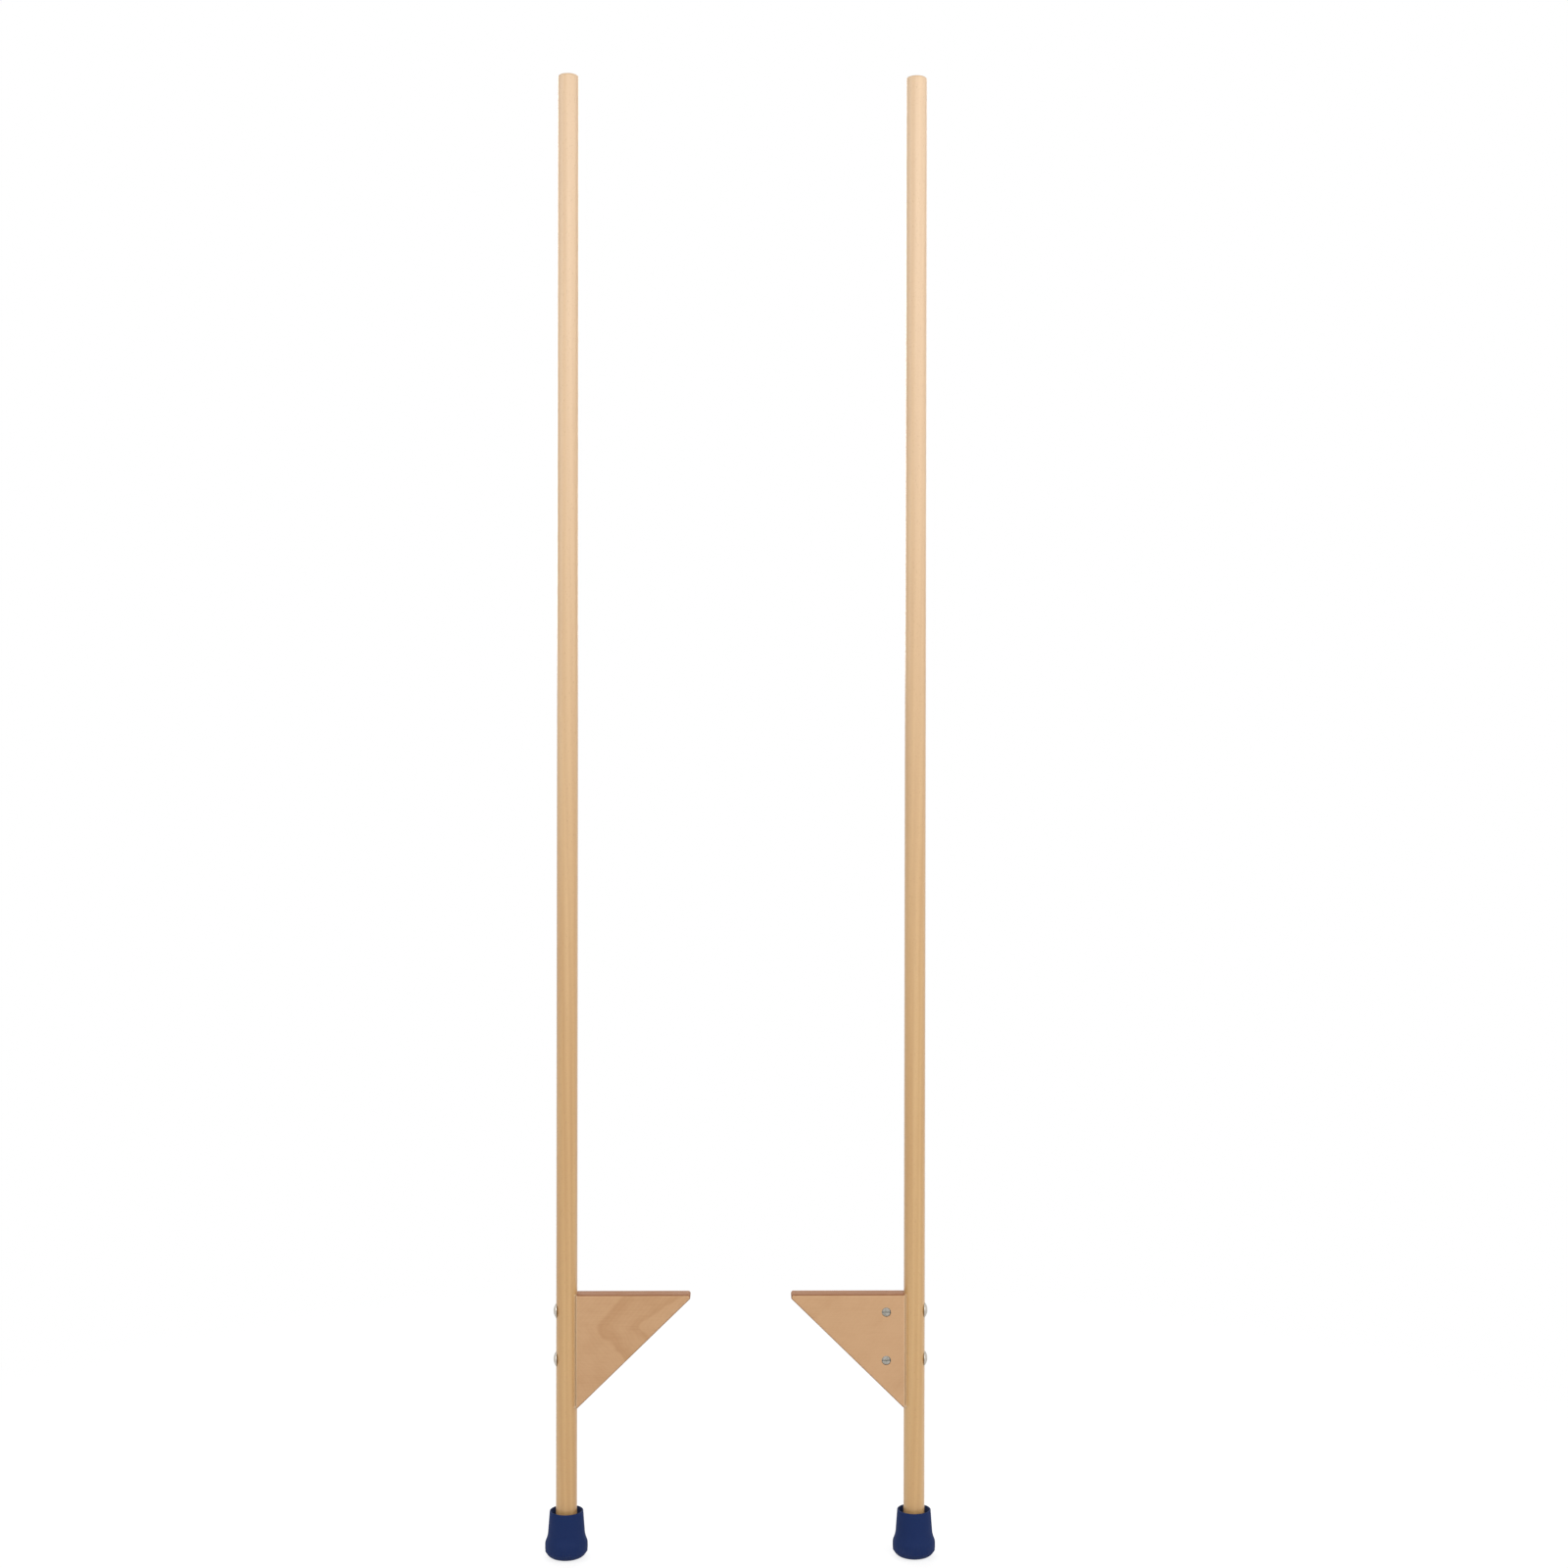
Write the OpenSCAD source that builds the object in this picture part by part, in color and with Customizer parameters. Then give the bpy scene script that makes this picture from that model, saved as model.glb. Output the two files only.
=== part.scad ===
// A pair of walking stilts: round hardwood poles with bolted plywood steps and rubber feet.
// Both stilts are the same. The second one is turned half round, so that the two steps face each other.
// Each stilt is drawn about its own pole: the pole's axis is Z, the ground is z = 0 and the step points along +X.

/* [Pair] */
// Distance between the axes of the two poles
stance = 462; // [400:2:700]

/* [Pole] */
// Diameter of the round pole
pole_d = 28; // [24:0.5:32]
// Height of the top of the pole above the ground
pole_top = 1965; // [1200:5:2200]
// Radius of the eased edge at the top of the pole
pole_top_round = 3; // [1:0.5:6]
// Chamfer at the foot of the pole
pole_foot_chamfer = 1.5; // [0.5:0.5:3]

/* [Step block] */
// Height of the tread above the ground
tread_z = 350; // [260:5:600]
// Reach of the tread from the side of the pole to the tip of the nose
step_reach = 150; // [120:1:180]
// Height of the step block along the pole
step_drop = 150; // [130:1:180]
// Thickness of the step block
step_t = 28; // [26:0.5:33]
// Height of the blunt end of the nose
nose_h = 5.5; // [4:0.5:12]
// Radius of the rounded upper edge of the nose
nose_round = 3; // [1:0.25:4.5]
// Width of the short flat end under the step block, beside the pole
heel_w = 2; // [2:0.5:10]
// Radius of the rounded edges around both faces
edge_round = 3; // [1:0.25:3.25]
// Depth of the hollow in the step block that cradles the pole
saddle_depth = 0.75; // [0.5:0.25:4]

/* [Bolts] */
// Diameter of the bolt shank
bolt_d = 8; // [6:1:8]
// Length of the bolt under its head
bolt_len = 60; // [56:1:70]
// Diameter of the domed bolt head
bolt_head_d = 20.5; // [16:0.5:24]
// Height of the domed bolt head
bolt_head_h = 4.8; // [3.5:0.1:6]
// Height of the straight edge under the dome
bolt_head_rim = 0.8; // [0.4:0.1:1.5]
// Width across the flats of the hexagon socket
bolt_socket_af = 5; // [4:0.5:6]
// Depth of the hexagon socket
bolt_socket_depth = 2.8; // [2:0.1:3]
// Chamfer at the end of the bolt
bolt_tip_chamfer = 1; // [0.5:0.25:1.5]
// Depth of the upper bolt below the tread
upper_bolt_depth = 23; // [20:1:35]
// Distance from the upper bolt to the lower bolt
bolt_spacing = 64; // [40:1:75]
// Depth that the bolt heads are let into the pole
head_seat_depth = 1.2; // [0.8:0.1:2.5]

/* [Barrel nuts] */
// Diameter of the barrel nut
nut_d = 12; // [11:0.5:14]
// Length of the barrel nut
nut_len = 22; // [20:0.5:24]
// Distance from the side of the pole to the axis of the barrel nut
nut_inset = 24; // [18:0.5:32]
// Distance of the slotted end below the face of the step block
nut_recess = 0.8; // [0.2:0.1:2]
// Width of the screwdriver slot
nut_slot_w = 1.6; // [1:0.1:2]
// Depth of the screwdriver slot
nut_slot_depth = 1.8; // [1:0.1:3]
// Chamfer at both ends of the barrel nut
nut_chamfer = 0.6; // [0.2:0.1:1]

/* [Ferrule] */
// Height of the rubber ferrule
ferrule_h = 61.5; // [58:0.5:80]
// Outer diameter at the rim
ferrule_rim_d = 44.6; // [42:0.2:48]
// Outer diameter at the waist, above the flare
ferrule_waist_d = 48.6; // [46:0.2:51]
// Height of the waist above the ground
ferrule_waist_z = 34; // [32:0.5:38]
// Largest diameter of the foot
ferrule_foot_d = 56.4; // [54:0.2:60]
// Radius of the round edge under the foot
ferrule_base_round = 12.5; // [9:0.5:13]
// Radius of the bulge over the foot
ferrule_bulge_r = 12; // [9:0.5:13]
// Radius of the hollow flare between the foot and the waist
ferrule_flare_r = 35; // [28:1:45]
// Radius of the rounded lip at the rim
ferrule_lip_r = 0.7; // [0.5:0.1:1.5]
// Depth of the cone at the mouth of the socket
ferrule_lead_in = 14; // [3:0.5:20]
// Thickness of rubber under the socket
ferrule_floor = 12; // [8:0.5:16]
// Number of ring grooves in the sole
sole_grooves = 2; // [1:1:2]
// Outer radius of the first ring groove
sole_groove_r = 7; // [6:0.5:9]
// Distance between ring grooves
sole_groove_pitch = 5; // [4:0.5:6]
// Width of each ring groove
sole_groove_w = 2; // [1:0.25:3]
// Depth of each ring groove
sole_groove_depth = 1.5; // [0.5:0.25:3]

/* [Ferrule washer] */
// Diameter of the steel washer under the pole
washer_d = 26; // [18:0.5:27]
// Thickness of the steel washer
washer_t = 2; // [1:0.25:4]

/* [Clearances] */
// Gap between the pole and the step block's hollow
saddle_gap = 0.1; // [0.05:0.05:0.3]
// Gap around a bolt in its hole in the wood
bolt_hole_gap = 0.25; // [0.1:0.05:0.5]
// Gap around a bolt in its barrel nut
thread_gap = 0.05; // [0.02:0.01:0.1]
// Gap around a bolt head in its seat
head_seat_gap = 0.3; // [0.1:0.1:0.5]
// Gap around a barrel nut in its hole
nut_hole_gap = 0.1; // [0.05:0.05:0.3]
// Gap around the pole in the ferrule's socket
ferrule_grip_gap = 0.05; // [0.02:0.01:0.2]
// Spare depth of the holes past a bolt's tip and a nut's end
hole_run_out = 4; // [1:0.5:6]

/* [Hidden] */
$fn = 96;

// Overrun of a cutter past the surface that it cuts
cut = 1;
// Overlap of two curves of the ferrule that run into each other, so that they cross instead of only touching
blend_bite = 0.05;

pole_r = pole_d / 2;
pole_foot_z = ferrule_floor + washer_t;

// Step block, in its own plane: x from the pole's axis and y up from the tread
back_x = pole_r - saddle_depth;
tip_x = pole_r + step_reach;
// The corners run clockwise from the tread's end at the pole
step_corners = [
    [back_x, 0],
    [tip_x, 0],
    [tip_x, -nose_h],
    [back_x + heel_w, -step_drop],
    [back_x, -step_drop]
];

// A rounding tool meets both faces of an edge at a slight angle
edge_meets = 7;

// Bolts lie along X, barrel nuts along Y
upper_bolt_z = tread_z - upper_bolt_depth;
lower_bolt_z = upper_bolt_z - bolt_spacing;
head_seat_x = -pole_r + head_seat_depth;
bolt_tip_x = head_seat_x + bolt_len;
bolt_hole_d = bolt_d + 2 * bolt_hole_gap;
nut_x = pole_r + nut_inset;
nut_outer_y = step_t / 2 - nut_recess;
nut_inner_y = nut_outer_y - nut_len;
dome_r = (pow(bolt_head_d / 2, 2) + pow(bolt_head_h - bolt_head_rim, 2)) / (2 * (bolt_head_h - bolt_head_rim));

// Ferrule's profile, x as radius and y as height
rim_r = ferrule_rim_d / 2;
waist_r = ferrule_waist_d / 2;
foot_r = ferrule_foot_d / 2;
base_at = [foot_r - ferrule_base_round, ferrule_base_round];
socket_r = pole_r + ferrule_grip_gap;
taper = atan2(waist_r - rim_r, ferrule_h - ferrule_waist_z);
waist_at = [waist_r, ferrule_waist_z];
flare_at = waist_at + (ferrule_flare_r - blend_bite) * [cos(taper), sin(taper)];
bulge_x = foot_r - ferrule_bulge_r;
bulge_to_flare = ferrule_bulge_r + ferrule_flare_r - blend_bite;
bulge_at = [bulge_x, flare_at.y - sqrt(pow(bulge_to_flare, 2) - pow(flare_at.x - bulge_x, 2))];
flare_end = bulge_at + ferrule_bulge_r * (flare_at - bulge_at) / bulge_to_flare;
lip_at = [rim_r - ferrule_lip_r, ferrule_h - ferrule_lip_r];
lead_in_r = rim_r - 2 * ferrule_lip_r;

module left() {
    translate([-stance / 2, 0, 0]) children();
}

module right() {
    translate([stance / 2, 0, 0]) rotate([0, 0, 180]) children();
}

// Turns a revolved shape's axis from +Z to +X
module along_x() {
    rotate([0, 90, 0]) children();
}

// Turns a revolved shape's axis from +Z to +Y
module along_y() {
    rotate([-90, 0, 0]) children();
}

// Stands a flat outline, drawn in x and height, upright in the XZ plane with its thickness centred on Y
module upright(thickness) {
    rotate([90, 0, 0]) linear_extrude(height = thickness, center = true) children();
}

module pole_profile() {
    union() {
        translate([0, pole_foot_z]) polygon([
            [0, 0],
            [pole_r - pole_foot_chamfer, 0],
            [pole_r, pole_foot_chamfer],
            [pole_r, pole_top - pole_top_round - pole_foot_z],
            [0, pole_top - pole_top_round - pole_foot_z]
        ]);
        translate([0, pole_top - 2 * pole_top_round]) square([pole_r - pole_top_round, 2 * pole_top_round]);
        translate([pole_r - pole_top_round, pole_top - pole_top_round]) circle(pole_top_round);
    }
}

module head_seat() {
    along_x() translate([0, 0, -pole_r - cut])
        cylinder(d = bolt_head_d + 2 * head_seat_gap, h = head_seat_depth + cut);
}

module pole_bolt_hole() {
    along_x() cylinder(d = bolt_hole_d, h = pole_d + 2 * cut, center = true);
    head_seat();
}

module pole() {
    color("burlywood") difference() {
        rotate_extrude() pole_profile();
        translate([0, 0, upper_bolt_z]) pole_bolt_hole();
        translate([0, 0, lower_bolt_z]) pole_bolt_hole();
    }
}

// Section of the wood that a rounding tool takes off an edge, with the edge at the origin
module edge_waste(radius) {
    tool_at = radius / (1 - tan(edge_meets));
    difference() {
        translate([-tool_at, -tool_at]) square(tool_at + cut);
        translate([-tool_at, -tool_at]) circle(tool_at / cos(edge_meets));
    }
}

// Rounds the edges that one side of the outline makes with both faces, its outside to the left
module round_side(from, to) {
    run = to - from;
    translate([from.x, 0, from.y]) rotate([0, -atan2(run.y, run.x), 0])
        for (face = [0, 1]) mirror([0, face, 0])
            translate([-cut, step_t / 2, 0]) rotate([90, 0, 90])
                linear_extrude(height = norm(run) + 2 * cut) edge_waste(edge_round);
}

// Rounds the upper edge of the nose, across the thickness
module round_nose() {
    translate([tip_x, 0, 0]) upright(step_t + 2 * cut) edge_waste(nose_round);
}

module step_bolt_hole() {
    along_x() cylinder(d = bolt_hole_d, h = bolt_tip_x + hole_run_out);
}

module nut_hole() {
    translate([nut_x, nut_inner_y - nut_hole_gap, 0]) along_y()
        cylinder(d = nut_d + 2 * nut_hole_gap, h = step_t / 2 - nut_inner_y + nut_hole_gap + cut);
}

module step_block() {
    color("peru") difference() {
        translate([0, 0, tread_z]) difference() {
            upright(step_t) polygon(step_corners);
            for (i = [0 : len(step_corners) - 1])
                round_side(step_corners[i], step_corners[(i + 1) % len(step_corners)]);
            round_nose();
        }
        translate([0, 0, tread_z - step_drop - cut]) cylinder(r = pole_r + saddle_gap, h = step_drop + 2 * cut);
        for (z = [upper_bolt_z, lower_bolt_z]) translate([0, 0, z]) {
            step_bolt_hole();
            nut_hole();
        }
    }
}

// Half section of a bolt, its head's underside at y = 0 and its shank below
module bolt_profile() {
    difference() {
        polygon([
            [0, bolt_head_h],
            [bolt_head_d / 2, bolt_head_h],
            [bolt_head_d / 2, 0],
            [bolt_d / 2, 0],
            [bolt_d / 2, bolt_tip_chamfer - bolt_len],
            [bolt_d / 2 - bolt_tip_chamfer, -bolt_len],
            [0, -bolt_len]
        ]);
        difference() {
            translate([0, bolt_head_rim]) square([bolt_head_d, bolt_head_h]);
            translate([0, bolt_head_h - dome_r]) circle(dome_r);
        }
    }
}

module hexagon_socket() {
    translate([0, 0, bolt_head_h - bolt_socket_depth])
        cylinder(d = bolt_socket_af / cos(30), h = bolt_socket_depth + cut, $fn = 6);
}

module bolt(z) {
    color("silver") translate([head_seat_x, 0, z]) rotate([0, -90, 0]) difference() {
        rotate_extrude() bolt_profile();
        hexagon_socket();
    }
}

module nut_profile() {
    polygon([
        [0, 0],
        [nut_d / 2 - nut_chamfer, 0],
        [nut_d / 2, nut_chamfer],
        [nut_d / 2, nut_len - nut_chamfer],
        [nut_d / 2 - nut_chamfer, nut_len],
        [0, nut_len]
    ]);
}

// The screwdriver slot lies along the bolt, to show how the cross hole is turned
module barrel_nut(z) {
    color("darkgray") translate([nut_x, 0, z]) difference() {
        translate([0, nut_inner_y, 0]) along_y() rotate_extrude() nut_profile();
        along_x() cylinder(d = bolt_d + 2 * thread_gap, h = nut_d + 2 * cut, center = true);
        translate([-nut_d / 2 - cut, nut_outer_y - nut_slot_depth, -nut_slot_w / 2])
            cube([nut_d + 2 * cut, nut_slot_depth + cut, nut_slot_w]);
    }
}

module ferrule_outside() {
    difference() {
        union() {
            square([base_at.x, bulge_at.y]);
            translate([0, base_at.y]) square([foot_r, bulge_at.y - base_at.y]);
            translate(base_at) circle(ferrule_base_round);
            translate(bulge_at) circle(ferrule_bulge_r);
            polygon([
                [0, bulge_at.y],
                bulge_at,
                flare_end,
                flare_at,
                waist_at,
                [0, ferrule_waist_z]
            ]);
            polygon([
                [0, ferrule_waist_z],
                waist_at,
                lip_at + (ferrule_lip_r - blend_bite) * [cos(taper), sin(taper)],
                lip_at,
                [lip_at.x, ferrule_h],
                [0, ferrule_h]
            ]);
            translate(lip_at) circle(ferrule_lip_r);
        }
        translate(flare_at) circle(ferrule_flare_r);
    }
}

module ferrule_socket() {
    polygon([
        [0, ferrule_floor],
        [socket_r, ferrule_floor],
        [socket_r, ferrule_h - ferrule_lead_in],
        [lead_in_r, ferrule_h],
        [lead_in_r, ferrule_h + cut],
        [0, ferrule_h + cut]
    ]);
}

module sole_rings() {
    for (i = [0 : sole_grooves - 1])
        translate([sole_groove_r - sole_groove_w + i * sole_groove_pitch, -cut])
            square([sole_groove_w, sole_groove_depth + cut]);
}

module ferrule() {
    color("midnightblue") rotate_extrude() difference() {
        ferrule_outside();
        ferrule_socket();
        sole_rings();
    }
}

module ferrule_washer() {
    color("gray") translate([0, 0, ferrule_floor]) cylinder(d = washer_d, h = washer_t);
}

left() pole();  // left_pole
left() step_block();  // left_step_block
left() bolt(upper_bolt_z);  // left_upper_bolt
left() bolt(lower_bolt_z);  // left_lower_bolt
left() barrel_nut(upper_bolt_z);  // left_upper_barrel_nut
left() barrel_nut(lower_bolt_z);  // left_lower_barrel_nut
left() ferrule();  // left_ferrule
left() ferrule_washer();  // left_ferrule_washer
right() pole();  // right_pole
right() step_block();  // right_step_block
right() bolt(upper_bolt_z);  // right_upper_bolt
right() bolt(lower_bolt_z);  // right_lower_bolt
right() barrel_nut(upper_bolt_z);  // right_upper_barrel_nut
right() barrel_nut(lower_bolt_z);  // right_lower_barrel_nut
right() ferrule();  // right_ferrule
right() ferrule_washer();  // right_ferrule_washer
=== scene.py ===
import math

import bmesh
import bpy
from bpy.props import FloatProperty, FloatVectorProperty, IntProperty, PointerProperty
from bpy.types import Operator, Panel, PropertyGroup
from mathutils import Matrix, Vector


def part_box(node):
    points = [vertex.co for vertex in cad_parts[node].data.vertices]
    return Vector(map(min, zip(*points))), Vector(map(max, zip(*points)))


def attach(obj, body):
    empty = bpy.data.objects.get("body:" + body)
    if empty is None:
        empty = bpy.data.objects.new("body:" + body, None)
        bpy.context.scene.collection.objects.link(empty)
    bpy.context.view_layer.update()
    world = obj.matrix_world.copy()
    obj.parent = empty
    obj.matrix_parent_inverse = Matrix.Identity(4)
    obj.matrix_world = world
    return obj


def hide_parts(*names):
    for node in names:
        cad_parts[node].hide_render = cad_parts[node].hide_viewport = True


bl_info = {
    "name": "Walking Stilts",
    "version": (1, 0, 0),
    "blender": (4, 5, 0),
    "location": "3D View > Sidebar > Stilts",
    "description": "Builds a pair of wooden walking stilts with bolted plywood steps and rubber feet",
    "category": "Add Mesh",
}

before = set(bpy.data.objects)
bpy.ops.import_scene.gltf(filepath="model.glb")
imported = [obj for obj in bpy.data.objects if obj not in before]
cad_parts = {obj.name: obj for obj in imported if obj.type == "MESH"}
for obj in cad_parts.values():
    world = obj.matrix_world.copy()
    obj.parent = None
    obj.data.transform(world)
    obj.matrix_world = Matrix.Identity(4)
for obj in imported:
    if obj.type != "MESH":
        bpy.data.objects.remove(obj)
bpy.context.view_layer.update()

SIDES = ("left", "right")
LEVELS = ("upper", "lower")

# Both stilts are drawn about their own pole: its axis is Z, and the step points along +X
POLE_LOW, POLE_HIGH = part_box("left_pole")
STEP_LOW, STEP_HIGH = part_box("left_step_block")
NUT_LOW, NUT_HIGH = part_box("left_upper_barrel_nut")
FERRULE_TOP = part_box("left_ferrule")[1].z
SOCKET_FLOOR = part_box("left_ferrule_washer")[0].z
BOLT_BOX = {level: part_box("left_" + level + "_bolt") for level in LEVELS}
BOLT_Z = {level: (low.z + high.z) / 2 for level, (low, high) in BOLT_BOX.items()}
POLE_X = (POLE_LOW.x + POLE_HIGH.x) / 2

# Points nearer than this are one point
MERGE = 1e-6
# How far a cutting tool runs past the surface, and the room behind a barrel nut
OVERRUN = 0.004
NUT_CLEARANCE = 0.0001
HEXAGON_SIDES = 6

# Facets of the round stretches
FACETS = {
    "turn": 96, "saddle": 192, "pole_top": 8, "step_edge": 6, "step_ease": 2, "head": 14, "nut_chamfer": 2,
    "base": 10, "above_seam": 4, "bulge": 8, "flare": 8, "lip": 6,
}

# Edges that turn by more degrees than this stay sharp in the shading
SHARP = {"pole": 35, "step": 28, "bolt": 30, "nut": 20, "ferrule": 40}
# Edges of the step that turn by more degrees than this are sanded
SANDED_ABOVE = 25

# Rings that divide the pole: below and above each bolt, then evenly up the grip
BOLT_RINGS = (-0.02, -0.012, 0.012, 0.02)
GRIP_FOOT, GRIP_PITCH, GRIP_RINGS = 0.45, 0.15, 10
POLE_RINGS = [BOLT_Z[level] + away for level in reversed(LEVELS) for away in BOLT_RINGS]
POLE_RINGS += [GRIP_FOOT + GRIP_PITCH * ring for ring in range(GRIP_RINGS)]

# The plies between the two veneers run along and across the grain in turn
INNER_PLIES = 17
VENEER = 0.0007
VENEER_BLUR = 0.0002
PLY_PAIR, PLY_SHIFT, PLY_BLUR = 2.0, 0.25, 0.25

# Where each finish starts in its noise
SEEDS = {
    "beech": {"left": 3.1, "right": 7.4},
    "plywood": {"left": 1.7, "right": 5.2},
    "zinc": {"left": 2.3, "right": 6.6},
    "rubber": {"left": 4.8, "right": 9.1},
}

# The veneers differ: the height of the flame's point, how strongly it shows, and where the light wood ends
VENEER_SHEETS = {
    "left": {"point": 0.308, "flame": 0.2, "light": 0.16},
    "right": {"point": 0.42, "flame": 0.07, "light": 0.28},
}
LIGHT_TO_DARK = 0.7

# The pole's pith lies outside the rod
PITH = (0.034, 0.017, 0.0)
# Painted light: the pole is painted pale beside the step, to lift the shade of the crease, from the first to
# the second distance from its axis
PAINTED_LIGHT_STRIP = (0.0092, 0.0124)
PAINTED_LIGHT_BLUR = 0.0005

# Roughness of the zinc plate where it is smoothest
ZINC_ROUGH = {"bolt": 0.3, "nut": 0.45, "washer": 0.35}
ZINC_ROUGH_SPAN = 0.2

WHITE = (1.0, 1.0, 1.0, 1.0)
PALE_GREY = (0.8, 0.8, 0.8, 1.0)
FLOOR_REACH = 30.0
FLOOR_GLOW = 0.3
SHADOW_FADE = (0.5, 1.6)
SENSOR_WIDTH = 36.0

# Soft lights: the place, the point that each one faces, width and height, and the setting of its power
SOFT_BOXES = {
    "key": ((0.8, -3.6, 2.85), (0.0, 0.0, 2.3), (5.0, 2.2), "key_power"),
    "fill": ((0.2, -3.2, 0.8), (0.0, 0.0, 0.6), (4.0, 1.6), "fill_power"),
    "left": ((-3.2, -1.2, 2.4), (0.0, 0.0, 1.6), (3.0, 2.6), "side_power"),
    "right": ((3.2, -1.2, 2.4), (0.0, 0.0, 1.6), (3.0, 2.6), "side_power"),
    "back": ((-0.6, 3.6, 2.6), (0.0, 0.0, 1.0), (5.0, 2.6), "back_power"),
}


def length(label, text, metres):
    """A length that a user can change, in metres."""
    return FloatProperty(
        name=label, description=text, default=metres, min=0.0, precision=4, unit="LENGTH",
        subtype="DISTANCE"
    )


def place(label, text, metres):
    """A place along an axis that a user can change, in metres."""
    return FloatProperty(name=label, description=text, default=metres, unit="LENGTH", precision=4)


def angle(label, text, degrees):
    """An angle that a user can change."""
    return FloatProperty(name=label, description=text, default=math.radians(degrees), subtype="ANGLE")


def power(label, text, watts):
    """The power of a light, which a user can change."""
    return FloatProperty(name=label, description=text, default=watts, unit="POWER")


def tone(label, text, red, green, blue):
    """A colour that a user can change, given as screen values from 0 to 255."""
    linear = []
    for value in (red / 255, green / 255, blue / 255):
        linear.append(value / 12.92 if value <= 0.04045 else ((value + 0.055) / 1.055) ** 2.4)
    return FloatVectorProperty(
        name=label, description=text, default=linear, min=0.0, max=1.0, size=3, subtype="COLOR"
    )


class PoleSizes(PropertyGroup):
    """Sizes of the round poles"""

    radius: length("Radius", "Radius of the pole", (POLE_HIGH.x - POLE_LOW.x) / 2)
    top: length("Top", "Height of the top of the pole", POLE_HIGH.z)
    foot: length("Foot", "Height of the foot of the pole, inside the ferrule", POLE_LOW.z)
    top_round: length("Top round", "Radius of the eased edge at the top", 0.003)
    foot_chamfer: length("Foot chamfer", "Chamfer at the foot", 0.0015)
    seat_depth: length("Seat depth", "Depth that the bolt heads are let into the pole", 0.0012)
    seat_radius: length("Seat radius", "Radius of the seat of a bolt head", 0.01055)
    bore_radius: length("Bore radius", "Radius of the bolt holes", 0.00425)


class StepSizes(PropertyGroup):
    """Sizes of the step blocks"""

    back: length("Back", "Distance from the pole's axis to the back of the block", STEP_LOW.x - POLE_X)
    tip: length("Tip", "Distance from the pole's axis to the tip of the nose", STEP_HIGH.x - POLE_X)
    tread: length("Tread", "Height of the tread", STEP_HIGH.z)
    heel: length("Heel", "Height of the heel of the block", STEP_LOW.z)
    thickness: length("Thickness", "Thickness of the block", STEP_HIGH.y - STEP_LOW.y)
    nose: length("Nose", "Height of the blunt end of the nose", 0.0055)
    heel_width: length("Heel width", "Width of the flat end beside the pole", 0.002)
    edge_round: length("Edge round", "Radius of the rounded edges around both faces and over the nose", 0.003)
    edge_ease: length("Edge ease", "Radius of the sanded edges across the thickness", 0.0007)
    saddle_radius: length("Saddle radius", "Radius of the hollow that cradles the pole", 0.0141)
    bolt_hole: length("Bolt hole", "How far the bolt holes reach from the pole's axis", 0.0512)
    nut_hole_radius: length("Nut hole radius", "Radius of the holes for the barrel nuts", 0.0061)
    veneer: length("Veneer", "Thickness of the veneer on both faces", VENEER)
    ply: length("Ply", "Thickness of one ply", (STEP_HIGH.y - STEP_LOW.y - 2 * VENEER) / INNER_PLIES)


class BoltSizes(PropertyGroup):
    """Sizes of the bolts"""

    radius: length("Radius", "Radius of the shank", 0.004)
    shank: length("Shank", "Length under the head", 0.06)
    head_radius: length("Head radius", "Radius of the domed head", 0.01025)
    head_height: length("Head height", "Height of the domed head", 0.0048)
    head_rim: length("Head rim", "Height of the straight edge under the dome", 0.0008)
    socket: length("Socket", "Width across the flats of the hexagon socket", 0.005)
    socket_depth: length("Socket depth", "Depth of the hexagon socket", 0.0028)
    tip_chamfer: length("Tip chamfer", "Chamfer at the end of the bolt", 0.001)


class NutSizes(PropertyGroup):
    """Sizes of the barrel nuts"""

    radius: length("Radius", "Radius of the barrel nut", (NUT_HIGH.x - NUT_LOW.x) / 2)
    axis: length(
        "Axis", "Distance from the pole's axis to the nut's axis", (NUT_LOW.x + NUT_HIGH.x) / 2 - POLE_X
    )
    outer: place("Outer end", "Place of the slotted end", NUT_HIGH.y)
    inner: place("Inner end", "Place of the inner end", NUT_LOW.y)
    chamfer: length("Chamfer", "Chamfer at both ends", 0.0006)
    slot_width: length("Slot width", "Width of the screwdriver slot", 0.0016)
    slot_depth: length("Slot depth", "Depth of the screwdriver slot", 0.0018)
    bore_radius: length("Bore radius", "Radius of the cross hole that takes the bolt", 0.00405)


class FerruleSizes(PropertyGroup):
    """Sizes of the rubber ferrules"""

    height: length("Height", "Height of the ferrule", FERRULE_TOP)
    rim: length("Rim", "Outer radius at the rim", 0.0223)
    waist: length("Waist", "Outer radius at the waist", 0.0243)
    waist_z: length("Waist height", "Height of the waist", 0.034)
    foot: length("Foot", "Largest radius of the foot", 0.0282)
    base_round: length("Base round", "Radius of the round edge under the foot", 0.0125)
    bulge: length("Bulge", "Radius of the bulge over the foot", 0.012)
    flare: length("Flare", "Radius of the hollow flare under the waist", 0.035)
    lip: length("Lip", "Radius of the rounded lip", 0.0007)
    mouth: length("Mouth", "Depth of the cone at the mouth", 0.014)
    socket: length("Socket", "Radius of the socket", 0.01405)
    floor: length("Floor", "Thickness of the rubber under the socket", SOCKET_FLOOR)
    seam_z: length("Seam height", "Height of the moulding seam", 0.0085)
    seam: length("Seam", "How far the moulding seam stands out", 0.0005)
    groove: length("Groove", "Outer radius of the first ring groove", 0.007)
    groove_pitch: length("Groove pitch", "Distance between ring grooves", 0.005)
    groove_width: length("Groove width", "Width of a ring groove", 0.002)
    groove_depth: length("Groove depth", "Depth of a ring groove", 0.0015)
    grooves: IntProperty(name="Grooves", description="Number of ring grooves", default=2, min=0, max=2)


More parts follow.
